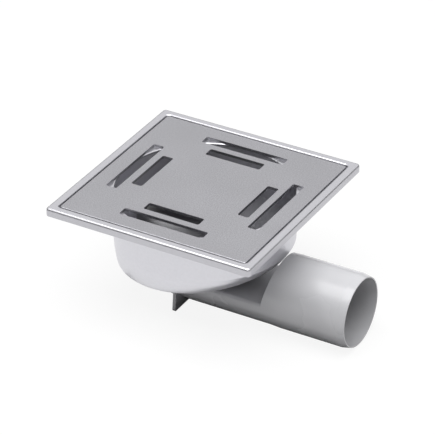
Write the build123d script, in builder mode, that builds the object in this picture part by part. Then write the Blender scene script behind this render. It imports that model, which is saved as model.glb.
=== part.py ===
from build123d import *
from math import cos, radians, sin, sqrt, tan
import os

# Gully trap with a square frame, a slotted grate, a round bowl and a side outlet.
# Sizes are millimetres. X runs along the outlet, Y to the back and Z up.
# The origin is the centre of the grate's top face, which lies flush with the floor.

# Clearances
grate_gap = 0.8
thread_gap = 0.3
slip_gap = 0.2
hole_gap = 1.0

# Grate
grate_thickness = 2.0
grate_corner = 1.75
grate_edge = 0.6
slot_width = 8.0
slot_corner = 1.3
slot_margin = 11.6
slot_pitch = 13.0
slot_sides = 4
outer_slot_length = 61.4
inner_slot_length = 40.8

# Frame of folded sheet
frame_size = 150.0
frame_sheet = 1.5
frame_corner = 2.5
rim_width = 6.0
rim_rise = 0.5
rim_bend = 1.8
recess_bend = 1.5
skirt_depth = 6.0
skirt_round = 0.7
mouth_round = 1.0

# Drawn bowl
bowl_inset = 15.0
bowl_sheet = 1.0
bowl_depth = 55.4
bowl_flange_width = 6.0
bowl_flange_bend = 2.0
wall_break_depth = 31.8
slope_foot = 29.2
slope_top_power = 1.4
slope_foot_power = 1.1
steep_corner = 3.0
level_count = 8

# Outlet body, one moulding
pipe_radius = 25.0
pipe_wall = 2.0
mouth_reach = 40.4
spigot_length = 50.0
bevel_length = 5.5
bevel_depth = 1.2
root_inset = 0.4
root_taper_length = 8.0
end_wall_gap = 0.3
end_wall_lean = 11.7
end_wall_fillet = 2.5
trough_wall = 2.1
deck_thickness = 2.5
deck_round = 2.0
throat_radius = 19.5
throat_wall = 2.5
throat_depth = 9.0
seat_radius = 31.0
seat_thickness = 3.0
foot_offset = 4.8
foot_thickness = 2.2
foot_top_drop = 4.0
foot_top_width = 47.8
foot_bottom_width = 52.0
foot_corner = 1.2

# Seals
gasket_thickness = 1.5
gasket_margin = 1.0

# Clamp ring, screwed into the throat
clamp_wall = 2.7
clamp_flange_radius = 30.0
clamp_flange_thickness = 3.0
clamp_chamfer = 0.8
key_notch_count = 6
key_notch_width = 5.0
key_notch_depth = 2.5

# Standpipe, pushed into the clamp ring
standpipe_wall = 2.2
standpipe_insertion = 13.0
collar_width = 2.5
collar_height = 2.5
weir_height = 31.0
weir_chamfer = 0.6
seal_groove_width = 2.0
seal_groove_depth = 1.2
seal_groove_drop = 4.0

# Bell, an inverted cup on legs
bell_radius = 33.0
bell_wall = 2.0
bell_shoulder = 5.0
bell_headroom = 8.0
bell_rim_gap = 6.0
leg_count = 4
leg_width = 5.0
leg_angle = 45.0
rib_thickness = 1.6
rib_gap = 0.5
rib_overlap = 6.0
knob_radius = 6.0
knob_neck_radius = 4.0
knob_height = 5.0
knob_cap = 2.0
knob_chamfer = 0.6

# Levels and places worked out from the sizes above
rim_top = rim_rise
ledge_top = -grate_thickness
ledge_under = ledge_top - frame_sheet
skirt_bottom = rim_top - skirt_depth
recess_size = frame_size - 2 * rim_width
grate_size = recess_size - 2 * grate_gap
recess_corner = grate_corner + grate_gap
skirt_inside = frame_size - 2 * frame_sheet
fold_inside = recess_size + 2 * frame_sheet
outer_slot_radius = (grate_size - slot_width) / 2 - slot_margin
inner_slot_radius = outer_slot_radius - slot_pitch
bowl_radius = frame_size / 2 - bowl_inset
bowl_top = ledge_under
bowl_bottom = bowl_top - bowl_depth
bowl_floor = bowl_bottom + bowl_sheet
wall_break = bowl_top - wall_break_depth
trap_x = (slope_foot - bowl_radius + steep_corner) / 2
deck_top = bowl_bottom - gasket_thickness
pipe_z = deck_top
pipe_bottom = pipe_z - pipe_radius
bore_radius = pipe_radius - pipe_wall
root_radius = pipe_radius - root_inset
mouth_x = frame_size / 2 + mouth_reach
spigot_x = mouth_x - spigot_length
end_wall_x = bowl_radius + end_wall_gap - root_radius * tan(radians(end_wall_lean))
clamp_bottom = deck_top - throat_depth
clamp_seat = bowl_floor + gasket_thickness
clamp_top = clamp_seat + clamp_flange_thickness
shank_radius = throat_radius - thread_gap
clamp_bore = shank_radius - clamp_wall
bowl_hole_radius = shank_radius + hole_gap
standpipe_radius = clamp_bore - slip_gap
standpipe_bore = standpipe_radius - standpipe_wall
standpipe_bottom = clamp_top - standpipe_insertion
weir_top = clamp_top + weir_height
seal_groove_radius = standpipe_radius - seal_groove_depth
seal_groove_top = clamp_top - seal_groove_drop
bell_inner = bell_radius - bell_wall
bell_rim = clamp_top + bell_rim_gap
bell_ceiling = weir_top + bell_headroom
bell_top = bell_ceiling + bell_wall
knob_top = bell_top + knob_height
trap_axis = Axis((trap_x, 0, 0), (0, 0, 1))
pipe_axis = Axis((0, 0, pipe_z), (1, 0, 0))
trap_section = Plane(origin=(trap_x, 0, 0), x_dir=(1, 0, 0), z_dir=(0, -1, 0))
end_wall_normal = (cos(radians(end_wall_lean)), 0, -sin(radians(end_wall_lean)))
end_wall_face = Plane(origin=(end_wall_x, 0, pipe_z), x_dir=(0, 1, 0), z_dir=end_wall_normal)
fillet_reach = end_wall_fillet / tan(radians(90 + end_wall_lean) / 2)
lower_left = (Align.MIN, Align.MIN)


# Grate, a flat plate with two slots along each side
with BuildPart() as grate:
    with BuildSketch(Plane.XY.offset(ledge_top)):
        RectangleRounded(grate_size, grate_size, grate_corner)
        with PolarLocations(outer_slot_radius, slot_sides):
            RectangleRounded(slot_width, outer_slot_length, slot_corner, mode=Mode.SUBTRACT)
        with PolarLocations(inner_slot_radius, slot_sides):
            RectangleRounded(slot_width, inner_slot_length, slot_corner, mode=Mode.SUBTRACT)
    extrude(amount=grate_thickness)
    fillet(grate.faces().sort_by(Axis.Z)[-1].outer_wire().edges(), grate_edge)
grate.part.label = "grate"


# Frame, one sheet folded from the skirt over the rim and down to the ledge
with BuildPart() as frame:
    with BuildSketch(Plane.XY.offset(skirt_bottom)):
        RectangleRounded(frame_size, frame_size, frame_corner)
    extrude(amount=skirt_depth)
    fillet(frame.faces().sort_by(Axis.Z)[-1].outer_wire().edges(), rim_bend)

    # Recess that takes the grate
    with BuildSketch(Plane.XY.offset(ledge_top)):
        RectangleRounded(recess_size, recess_size, recess_corner)
    extrude(amount=rim_top - ledge_top, mode=Mode.SUBTRACT)
    fillet(frame.faces().sort_by(Axis.Z)[-1].inner_wires()[0].edges(), recess_bend)

    # Hollow below the ledge, then the narrow fold between skirt and recess wall
    with BuildSketch(Plane.XY.offset(skirt_bottom)):
        RectangleRounded(skirt_inside, skirt_inside, frame_corner - frame_sheet)
    extrude(amount=ledge_under - skirt_bottom, mode=Mode.SUBTRACT)
    with BuildSketch(Plane.XY.offset(ledge_under)):
        RectangleRounded(skirt_inside, skirt_inside, frame_corner - frame_sheet)
        RectangleRounded(fold_inside, fold_inside, recess_corner + frame_sheet, mode=Mode.SUBTRACT)
    extrude(amount=rim_top - frame_sheet - ledge_under, mode=Mode.SUBTRACT)
    fillet(frame.faces().sort_by(Axis.Z)[0].edges(), skirt_round)

    # Round mouth over the bowl
    with BuildSketch(Plane.XY.offset(ledge_under)):
        Circle(bowl_radius - bowl_sheet)
    extrude(amount=frame_sheet, mode=Mode.SUBTRACT)
    mouth_edges = frame.edges().filter_by(GeomType.CIRCLE).group_by(SortBy.RADIUS)[-1]
    fillet(mouth_edges.sort_by(Axis.Z)[-1], mouth_round)
frame.part.label = "frame"


def lower_bowl(inset):
    """Lower part of the bowl, drawn inward by inset. Each level is the circle that spans
    from the steep wall to the sloping wall over the outlet."""
    radius = bowl_radius - inset
    foot = slope_foot - inset
    corner = steep_corner - inset
    drop = wall_break - bowl_bottom - inset
    with BuildPart() as form:
        for level in range(level_count + 1):
            fraction = sin(radians(90 * level / level_count))
            run = 1 - (1 - fraction**slope_top_power) ** (1 / slope_foot_power)
            sloping_x = radius - (radius - foot) * run
            into_corner = max(corner - drop * (1 - fraction), 0)
            steep_x = corner - radius - sqrt(corner**2 - into_corner**2)
            with BuildSketch(Plane.XY.offset(wall_break - drop * fraction)):
                with Locations(((sloping_x + steep_x) / 2, 0)):
                    Circle((sloping_x - steep_x) / 2)
        loft()
    return form.part


# Bowl, drawn from one disc, with a flange under the ledge and a hole for the clamp ring
with BuildPart() as bowl:
    with BuildSketch(Plane.XY.offset(bowl_top)):
        Circle(bowl_radius + bowl_flange_width)
    extrude(amount=-bowl_sheet)
    with BuildSketch(Plane.XY.offset(bowl_top)):
        Circle(bowl_radius)
    extrude(amount=-wall_break_depth)
    wall_edges = bowl.edges().filter_by(GeomType.CIRCLE).group_by(SortBy.RADIUS)[0]
    fillet(wall_edges.sort_by(Axis.Z)[-1], bowl_flange_bend)
    add(lower_bowl(0))
    with BuildSketch(Plane.XY.offset(bowl_top)):
        Circle(bowl_radius - bowl_sheet)
    extrude(amount=-wall_break_depth, mode=Mode.SUBTRACT)
    add(lower_bowl(bowl_sheet), mode=Mode.SUBTRACT)
    with BuildSketch(Plane.XY.offset(bowl_bottom)):
        with Locations((trap_x, 0)):
            Circle(bowl_hole_radius)
    extrude(amount=bowl_sheet, mode=Mode.SUBTRACT)
bowl.part.label = "bowl"


# Full round pipe from a leaning end wall: a root, a slight taper, the spigot and a bevel
with BuildPart() as pipe_form:
    with BuildSketch(Plane.XZ):
        with BuildLine():
            Polyline(
                (trap_x, pipe_z),
                (trap_x, pipe_z + root_radius),
                (spigot_x - root_taper_length, pipe_z + root_radius),
                (spigot_x, pipe_z + pipe_radius),
                (mouth_x - bevel_length, pipe_z + pipe_radius),
                (mouth_x, pipe_z + pipe_radius - bevel_depth),
                (mouth_x, pipe_z),
                close=True,
            )
        make_face()
    revolve(axis=pipe_axis)
    split(bisect_by=end_wall_face, keep=Keep.TOP)

# Bore of that pipe
with BuildPart() as bore_form:
    with BuildSketch(Plane.YZ.offset(trap_x)):
        with Locations((0, pipe_z)):
            Circle(bore_radius)
    extrude(amount=mouth_x - trap_x)
    split(bisect_by=end_wall_face.offset(pipe_wall), keep=Keep.TOP)


def trough_form(radius, top, top_round):
    """Half round trough with a flat top and a rounded far end, centred on the trap."""
    with BuildSketch(Plane.YZ.offset(trap_x)) as outline:
        with Locations((0, pipe_z)):
            Circle(radius)
        with Locations((0, top)):
            Rectangle(2 * radius, 2 * radius, align=(Align.CENTER, Align.MAX), mode=Mode.INTERSECT)
        if top_round > 0:
            fillet(outline.vertices().group_by(Axis.Y)[-1], top_round)
    with BuildPart() as form:
        extrude(outline.sketch, amount=end_wall_x - trap_x + pipe_wall)
        half_outline = split(outline.sketch, bisect_by=Plane.XZ, mode=Mode.PRIVATE)
        revolve(half_outline, axis=trap_axis)
    return form.part


# Outlet body, one moulding: trough, deck, seat, end wall, pipe, throat and foot
with BuildPart() as outlet_body:
    add(trough_form(root_radius, deck_top, deck_round))
    add(pipe_form.part)

    # Hollow fillet between the deck and the end wall
    wall_foot = Vector(end_wall_x, deck_top)
    on_deck = wall_foot - Vector(fillet_reach, 0)
    on_wall = wall_foot + Vector(0, fillet_reach).rotate(Axis.Z, -end_wall_lean)
    with BuildSketch(Plane.XZ):
        with BuildLine():
            TangentArc(on_deck, on_wall, tangent=(1, 0))
            Polyline(on_wall, wall_foot, on_deck)
        make_face()
    extrude(amount=root_radius - deck_round, both=True)

    # Round seat that carries the bowl
    with BuildSketch(Plane.XY.offset(deck_top)):
        with Locations((trap_x, 0)):
            Circle(seat_radius)
    extrude(amount=-seat_thickness)

    # Foot fin across the trough
    with BuildSketch(Plane.YZ.offset(trap_x + foot_offset - foot_thickness / 2)) as foot_outline:
        with BuildLine():
            Polyline(
                (-foot_top_width / 2, pipe_z - foot_top_drop),
                (-foot_bottom_width / 2, pipe_bottom),
                (foot_bottom_width / 2, pipe_bottom),
                (foot_top_width / 2, pipe_z - foot_top_drop),
                close=True,
            )
        make_face()
        fillet(foot_outline.vertices().group_by(Axis.Y)[0], foot_corner)
    extrude(amount=foot_thickness)

    # Waterway, then the throat that hangs into it
    trough_ceiling = deck_top - deck_thickness
    add(trough_form(root_radius - trough_wall, trough_ceiling, 0), mode=Mode.SUBTRACT)
    add(bore_form.part, mode=Mode.SUBTRACT)
    with BuildSketch(Plane.XY.offset(clamp_bottom)):
        with Locations((trap_x, 0)):
            Circle(throat_radius + throat_wall)
    extrude(amount=throat_depth)
    with BuildSketch(Plane.XY.offset(clamp_bottom)):
        with Locations((trap_x, 0)):
            Circle(throat_radius)
    extrude(amount=throat_depth, mode=Mode.SUBTRACT)
outlet_body.part.label = "outlet_body"


# Seat gasket between the bowl and the outlet body
with BuildPart() as seat_gasket:
    with BuildSketch(Plane.XY.offset(deck_top)):
        with Locations((trap_x, 0)):
            Circle(seat_radius - gasket_margin)
            Circle(throat_radius + gasket_margin, mode=Mode.SUBTRACT)
    extrude(amount=gasket_thickness)
seat_gasket.part.label = "seat_gasket"


# Clamp gasket between the bowl's floor and the clamp ring
with BuildPart() as clamp_gasket:
    with BuildSketch(Plane.XY.offset(bowl_floor)):
        with Locations((trap_x, 0)):
            Circle(clamp_flange_radius - gasket_margin)
            Circle(bowl_hole_radius, mode=Mode.SUBTRACT)
    extrude(amount=gasket_thickness)
clamp_gasket.part.label = "clamp_gasket"


# Clamp ring, a threaded shank under a flange with notches for a key
with BuildPart() as clamp_ring:
    with BuildSketch(trap_section) as clamp_outline:
        with Locations((clamp_bore, clamp_bottom)):
            Rectangle(clamp_wall, clamp_top - clamp_bottom, align=lower_left)
        with Locations((clamp_bore, clamp_seat)):
            Rectangle(
                clamp_flange_radius - clamp_bore, clamp_flange_thickness, align=lower_left
            )
        chamfer(clamp_outline.vertices().group_by(Axis.X)[-1].sort_by(Axis.Y)[-1], clamp_chamfer)
    revolve(axis=trap_axis)
    with BuildSketch(Plane.XY.offset(clamp_seat)):
        with Locations((trap_x, 0)):
            with PolarLocations(clamp_flange_radius, key_notch_count):
                Rectangle(2 * key_notch_depth, key_notch_width)
    extrude(amount=clamp_flange_thickness, mode=Mode.SUBTRACT)
clamp_ring.part.label = "clamp_ring"


# Standpipe, its top edge is the weir that sets the water level
with BuildPart() as standpipe:
    with BuildSketch(trap_section) as standpipe_outline:
        with Locations((standpipe_bore, standpipe_bottom)):
            Rectangle(standpipe_wall, weir_top - standpipe_bottom, align=lower_left)
        with Locations((standpipe_bore, clamp_top)):
            Rectangle(standpipe_wall + collar_width, collar_height, align=lower_left)
        with Locations((seal_groove_radius, seal_groove_top - seal_groove_width)):
            Rectangle(
                seal_groove_depth, seal_groove_width, align=lower_left, mode=Mode.SUBTRACT
            )
        chamfer(standpipe_outline.vertices().group_by(Axis.Y)[-1], weir_chamfer)
    revolve(axis=trap_axis)
standpipe.part.label = "standpipe"


# Square ring seal in the standpipe's groove
with BuildPart() as standpipe_seal:
    with BuildSketch(trap_section):
        with Locations((seal_groove_radius, seal_groove_top - seal_groove_width)):
            Rectangle(clamp_bore - seal_groove_radius, seal_groove_width, align=lower_left)
    revolve(axis=trap_axis)
standpipe_seal.part.label = "standpipe_seal"


# Bell, an inverted cup over the standpipe, on legs that stand on the bowl's floor
with BuildPart() as bell:
    with BuildSketch(Plane.XY.offset(bell_rim)):
        with Locations((trap_x, 0)):
            Circle(bell_radius)
    extrude(amount=bell_top - bell_rim)
    fillet(bell.faces().sort_by(Axis.Z)[-1].edges(), bell_shoulder)
    offset(amount=-bell_wall, openings=bell.faces().sort_by(Axis.Z)[0])

    # Legs, each a stretch of the wall carried down to the floor
    with BuildSketch(Plane.XY.offset(bowl_floor)):
        with Locations((trap_x, 0)):
            with PolarLocations(bell_radius, leg_count, start_angle=leg_angle):
                Rectangle(4 * bell_wall, leg_width)
            Circle(bell_radius, mode=Mode.INTERSECT)
            Circle(bell_inner, mode=Mode.SUBTRACT)
    extrude(amount=bell_rim - bowl_floor)

    # Ribs that centre the bell on the standpipe
    rib_length = bell_radius - bell_wall / 2 - standpipe_radius - rib_gap
    with BuildSketch(Plane.XY.offset(weir_top - rib_overlap)):
        with Locations((trap_x, 0)):
            with PolarLocations(
                standpipe_radius + rib_gap + rib_length / 2, leg_count, start_angle=leg_angle
            ):
                Rectangle(rib_length, rib_thickness)
    extrude(amount=bell_ceiling - bell_shoulder - weir_top + rib_overlap)

    # Knob to lift the bell by
    with BuildSketch(trap_section) as knob_outline:
        with Locations((0, bell_ceiling)):
            Rectangle(knob_neck_radius, knob_top - bell_ceiling, align=lower_left)
        with Locations((0, knob_top - knob_cap)):
            Rectangle(knob_radius, knob_cap, align=lower_left)
        chamfer(knob_outline.vertices().group_by(Axis.X)[-1], knob_chamfer)
    revolve(axis=trap_axis)
bell.part.label = "bell"


os.makedirs("parts", exist_ok=True)
for piece in (
    grate,
    frame,
    bowl,
    outlet_body,
    seat_gasket,
    clamp_gasket,
    clamp_ring,
    standpipe,
    standpipe_seal,
    bell,
):
    export_step(piece.part, "parts/" + piece.part.label + ".step")
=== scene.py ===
"""The gully trap as in its photograph: camera, floor, light and materials."""

import math

import bpy
from mathutils import Euler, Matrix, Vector


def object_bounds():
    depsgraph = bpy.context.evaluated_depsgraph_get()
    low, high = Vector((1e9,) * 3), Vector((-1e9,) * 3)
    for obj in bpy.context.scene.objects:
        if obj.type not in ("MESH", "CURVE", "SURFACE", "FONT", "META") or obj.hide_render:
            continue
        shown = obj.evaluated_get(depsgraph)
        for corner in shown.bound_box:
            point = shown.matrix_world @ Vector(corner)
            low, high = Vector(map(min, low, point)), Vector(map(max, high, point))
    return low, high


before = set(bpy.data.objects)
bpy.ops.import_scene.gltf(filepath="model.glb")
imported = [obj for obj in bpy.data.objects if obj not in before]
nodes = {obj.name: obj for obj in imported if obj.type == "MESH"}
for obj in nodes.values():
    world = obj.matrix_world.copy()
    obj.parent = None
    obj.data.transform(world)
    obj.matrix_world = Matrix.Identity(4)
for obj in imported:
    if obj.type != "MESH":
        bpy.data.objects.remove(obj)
cad_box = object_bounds()

# The camera's place, as read from the photograph, in degrees and metres
camera_azimuth = 29.83
camera_elevation = 31.52
camera_roll = -0.109
camera_distance = 1.8091
camera_reach = 20
aim_right = 0.0082
aim_down = 0.0208
rim_top = 0.0005

# Its lens and sensor, in millimetres
camera_lens = 230.9
camera_sensor = 36

# The floor and the two cards on it, in metres: half their sides, how far they lie under
# the gully's foot, and the dark card's middle along the outlet. The dark card is painted
# shadow: a dark sheet under the outlet in place of the floor's shadow there
floor_reach = (4.0, 4.0)
floor_drop = 0.0002
bounce_drop = 0.0001
painted_shadow_reach = (0.089, 0.03)
painted_shadow_middle = 0.027

# How white they are, how strongly the floor glows, and how matt all three are
floor_white = 0.12
bounce_white = 0.56
# The dark card is painted shadow, nearly black
painted_shadow_white = 0.02
floor_glow = 0.9
card_roughness = 0.9
card_specular = 0.1

# The soft box overhead, in metres and watts
lamp_place = (0.1, -0.4, 1.5)
lamp_aim = (0.03, 0, -0.05)
lamp_size = (1.6, 1.2)
lamp_power = 33

# The studio tent: an axis that leans to the back, and the brightness at places along
# it, from 0 at its foot through 0.5 at the horizon to 1 at its top
tent_axis = (-0.103, 0.18, 0.978)
tent_strength = 1.25
tent_levels = (
    (0.0, 0.0),
    (0.5, 0.0),
    (0.52, 0.04),
    (0.68, 0.05),
    (0.77, 1.0),
    (0.86, 0.95),
    (0.93, 0.75),
    (1.0, 0.75),
)

# Every noise has most of its values between these two
noise_low = 0.3
noise_high = 0.7

# How finely the grain of every material is broken up
grain_detail = 3.0

# Stainless steel: a faint blue, and clouds that dim it and change its roughness
steel_tint = (0.995, 0.99, 1.045)
steel_cloud_scale = 25.0
steel_cloud_detail = 2.0
steel_cloud_shade = 0.8
steel_sheen_change = 0.04
steel_grain_depth = 0.00005

# Plastic and rubber: clouds that change the colour and the roughness
plastic_specular = 0.42
plastic_cloud_scale = 18.0
plastic_cloud_detail = 3.0
plastic_contrast = 0.08
plastic_sheen_change = -0.05
plastic_grain_depth = 0.00008

# A colour mix's sockets, by number because the other kinds of mix share their names
mix_value = 0
mix_dark = 6
mix_light = 7
mix_result = 2


def grey(level):
    """One brightness as an opaque colour."""
    return (level, level, level, 1)


def set_inputs(node, values):
    """Sets a node's inputs, given by name or number."""
    for socket, value in values.items():
        node.inputs[socket].default_value = value


def add_object(name, data):
    """A new object in the scene."""
    added = bpy.data.objects.new(name, data)
    bpy.context.scene.collection.objects.link(added)
    return added


def make_camera():
    """Looks at a point a little right of and below the middle of the rim's top."""
    azimuth = math.radians(camera_azimuth)
    elevation = math.radians(camera_elevation)
    turn = Euler((math.pi / 2 - elevation, 0, azimuth)).to_matrix()
    turn = turn @ Euler((0, 0, math.radians(camera_roll))).to_matrix()
    right, up, back = turn.col
    aim = Vector((0, 0, rim_top)) + right * aim_right - up * aim_down
    data = bpy.data.cameras.new("camera")
    data.lens = camera_lens
    data.sensor_width = camera_sensor
    data.clip_end = camera_reach
    camera = add_object("camera", data)
    camera.matrix_world = turn.to_4x4()
    camera.location = aim + back * camera_distance
    bpy.context.scene.camera = camera


def make_card(name, middle, reach, drop, whiteness, glow):
    """A plain level sheet at the foot of the gully, or just under it."""
    height = cad_box[0].z - drop
    corners = []
    for x, y in ((-1, -1), (1, -1), (1, 1), (-1, 1)):
        corners.append((middle + reach[0] * x, reach[1] * y, height))
    mesh = bpy.data.meshes.new(name)
    mesh.from_pydata(corners, [], [(0, 1, 2, 3)])
    card = add_object(name, mesh)
    material, shader = new_material(name)
    looks = {
        "Base Color": grey(whiteness),
        "Roughness": card_roughness,
        "Specular IOR Level": card_specular,
        "Emission Color": grey(1),
        "Emission Strength": glow,
    }
    set_inputs(shader, looks)
    mesh.materials.append(material)
    return card


def make_floor():
    """The white floor that is seen and two cards that aren't: one lights the gully from
    below and one, a dark sheet of painted shadow, darkens the underside of the outlet."""
    floor = make_card("floor", 0, floor_reach, floor_drop, floor_white, floor_glow)
    floor.visible_diffuse = False
    bounce = make_card("bounce_card", 0, floor_reach, bounce_drop, bounce_white, 0)
    bounce.visible_camera = False
    bounce.visible_glossy = False
    bounce.visible_shadow = False
    # Painted shadow: a near-black sheet under the outlet, unseen by the camera, that
    # darkens the outlet's underside and its reflections
    dark = make_card("painted_shadow_card", painted_shadow_middle, painted_shadow_reach, 0, painted_shadow_white, 0)
    dark.visible_camera = False
    dark.visible_shadow = False


def make_lamp():
    """One soft box overhead, a flat panel that faces its aim."""
    data = bpy.data.lights.new("overhead", "AREA")
    data.shape = "RECTANGLE"
    data.size, data.size_y = lamp_size
    data.energy = lamp_power
    lamp = add_object("overhead", data)
    lamp.location = lamp_place
    direction = Vector(lamp_aim) - Vector(lamp_place)
    lamp.rotation_euler = direction.to_track_quat("-Z", "Y").to_euler()


def make_tent():
    """A soft studio tent: black below, dim round the horizon, bright overhead."""
    world = bpy.data.worlds.new("studio")
    bpy.context.scene.world = world
    world.use_nodes = True
    tree = world.node_tree
    coords = tree.nodes.new("ShaderNodeTexCoord")
    rise = tree.nodes.new("ShaderNodeVectorMath")
    rise.operation = "DOT_PRODUCT"
    set_inputs(rise, {1: tent_axis})
    tree.links.new(coords.outputs["Generated"], rise.inputs[0])
    # The rise runs from -1 at the foot of the axis to 1 at its top
    height = tree.nodes.new("ShaderNodeMapRange")
    set_inputs(height, {"From Min": -1.0})
    tree.links.new(rise.outputs["Value"], height.inputs["Value"])
    ramp = tree.nodes.new("ShaderNodeValToRGB")
    tree.links.new(height.outputs["Result"], ramp.inputs["Fac"])
    stops = ramp.color_ramp.elements
    stops[0].color = grey(tent_levels[0][1])
    stops[1].color = grey(tent_levels[-1][1])
    for position, level in tent_levels[1:-1]:
        stops.new(position).color = grey(level)
    background = tree.nodes["Background"]
    set_inputs(background, {"Strength": tent_strength})
    tree.links.new(ramp.outputs["Color"], background.inputs["Color"])


def new_material(name):
    """A new material and its shader."""
    material = bpy.data.materials.new(name)
    material.use_nodes = True
    return material, material.node_tree.nodes["Principled BSDF"]


def add_noise(tree, scale, detail):
    """Noise in the object's own metres."""
    coords = tree.nodes.new("ShaderNodeTexCoord")
    noise = tree.nodes.new("ShaderNodeTexNoise")
    set_inputs(noise, {"Scale": scale, "Detail": detail})
    tree.links.new(coords.outputs["Object"], noise.inputs["Vector"])
    return noise.outputs["Fac"]


def add_range(tree, noise, low, high):
    """Spreads the values of a noise from low to high."""
    spread = tree.nodes.new("ShaderNodeMapRange")
    set_inputs(spread, {"From Min": noise_low, "From Max": noise_high})
    set_inputs(spread, {"To Min": low, "To Max": high})
    tree.links.new(noise, spread.inputs["Value"])
    return spread.outputs["Result"]


def add_product(tree, one, other):
    """One value times another."""
    product = tree.nodes.new("ShaderNodeMath")
    product.operation = "MULTIPLY"
    tree.links.new(one, product.inputs[0])
    tree.links.new(other, product.inputs[1])
    return product.outputs["Value"]


def add_color(tree, shader, shade, color, contrast):
    """Colours a surface darker where the shade is 0 and lighter where it is 1."""
    dark = (*((1 - contrast) * part for part in color), 1)
    light = (*((1 + contrast) * part for part in color), 1)
    mix = tree.nodes.new("ShaderNodeMix")
    mix.data_type = "RGBA"
    set_inputs(mix, {mix_dark: dark, mix_light: light})
    tree.links.new(shade, mix.inputs[mix_value])
    tree.links.new(mix.outputs[mix_result], shader.inputs["Base Color"])


def add_sheen(tree, shader, clouds, roughness, change):
    """Makes a surface rougher or smoother in clouds."""
    patches = add_range(tree, clouds, roughness - change, roughness + change)
    tree.links.new(patches, shader.inputs["Roughness"])


def add_bump(tree, shader, grain, strength, depth):
    """Raises and lowers a surface with the grain, by a depth in metres."""
    bump = tree.nodes.new("ShaderNodeBump")
    set_inputs(bump, {"Strength": strength, "Distance": depth})
    tree.links.new(grain, bump.inputs["Height"])
    tree.links.new(bump.outputs["Normal"], shader.inputs["Normal"])


def steel(name, level, roughness, metallic, grain_scale, grain_bump, contrast):
    """Satin stainless steel, a little blue: an even grain over large faint clouds."""
    material, shader = new_material(name)
    tree = material.node_tree
    set_inputs(shader, {"Metallic": metallic})
    grain = add_noise(tree, grain_scale, grain_detail)
    clouds = add_noise(tree, steel_cloud_scale, steel_cloud_detail)
    fine = add_range(tree, grain, 0, 1)
    large = add_range(tree, clouds, steel_cloud_shade, 1)
    color = tuple(level * part for part in steel_tint)
    add_color(tree, shader, add_product(tree, fine, large), color, contrast)
    add_sheen(tree, shader, clouds, roughness, steel_sheen_change)
    add_bump(tree, shader, grain, grain_bump, steel_grain_depth)
    return material


def plastic(name, color, roughness, grain_scale, grain_bump):
    """Moulded plastic with a fine eroded texture and faint clouds of sheen."""
    material, shader = new_material(name)
    tree = material.node_tree
    set_inputs(shader, {"Specular IOR Level": plastic_specular})
    grain = add_noise(tree, grain_scale, grain_detail)
    clouds = add_noise(tree, plastic_cloud_scale, plastic_cloud_detail)
    add_color(tree, shader, add_range(tree, clouds, 0, 1), color, plastic_contrast)
    add_sheen(tree, shader, clouds, roughness, plastic_sheen_change)
    add_bump(tree, shader, grain, grain_bump, plastic_grain_depth)
    return material


def dress(node, material):
    """Gives a node of the CAD its material."""
    materials = nodes[node].data.materials
    materials.clear()
    materials.append(material)


bpy.context.scene.view_settings.view_transform = "Standard"
make_camera()
make_floor()
make_tent()
make_lamp()

frame_steel = steel(
    "frame_steel",
    level=0.53,
    roughness=0.36,
    metallic=1.0,
    grain_scale=900,
    grain_bump=0.02,
    contrast=0.03,
)
bowl_steel = steel(
    "bowl_steel",
    level=0.68,
    roughness=0.37,
    metallic=0.9,
    grain_scale=500,
    grain_bump=0.04,
    contrast=0.02,
)
grate_steel = steel(
    "grate_steel",
    level=0.385,
    roughness=0.42,
    metallic=1.0,
    grain_scale=1400,
    grain_bump=1.3,
    contrast=0.25,
)
grey_plastic = plastic(
    "grey_plastic",
    color=(0.4, 0.4, 0.414),
    roughness=0.25,
    grain_scale=400,
    grain_bump=0.015,
)
dark_plastic = plastic(
    "dark_plastic",
    color=(0.1, 0.1, 0.1),
    roughness=0.35,
    grain_scale=400,
    grain_bump=0.015,
)
black_rubber = plastic(
    "black_rubber",
    color=(0.025, 0.025, 0.025),
    roughness=0.7,
    grain_scale=900,
    grain_bump=0.2,
)

coats = {
    "grate": grate_steel,
    "frame": frame_steel,
    "bowl": bowl_steel,
    "outlet_body": grey_plastic,
    "bell": grey_plastic,
    "clamp_ring": dark_plastic,
    "standpipe": dark_plastic,
    "seat_gasket": black_rubber,
    "clamp_gasket": black_rubber,
    "standpipe_seal": black_rubber,
}
for node, coat in coats.items():
    dress(node, coat)
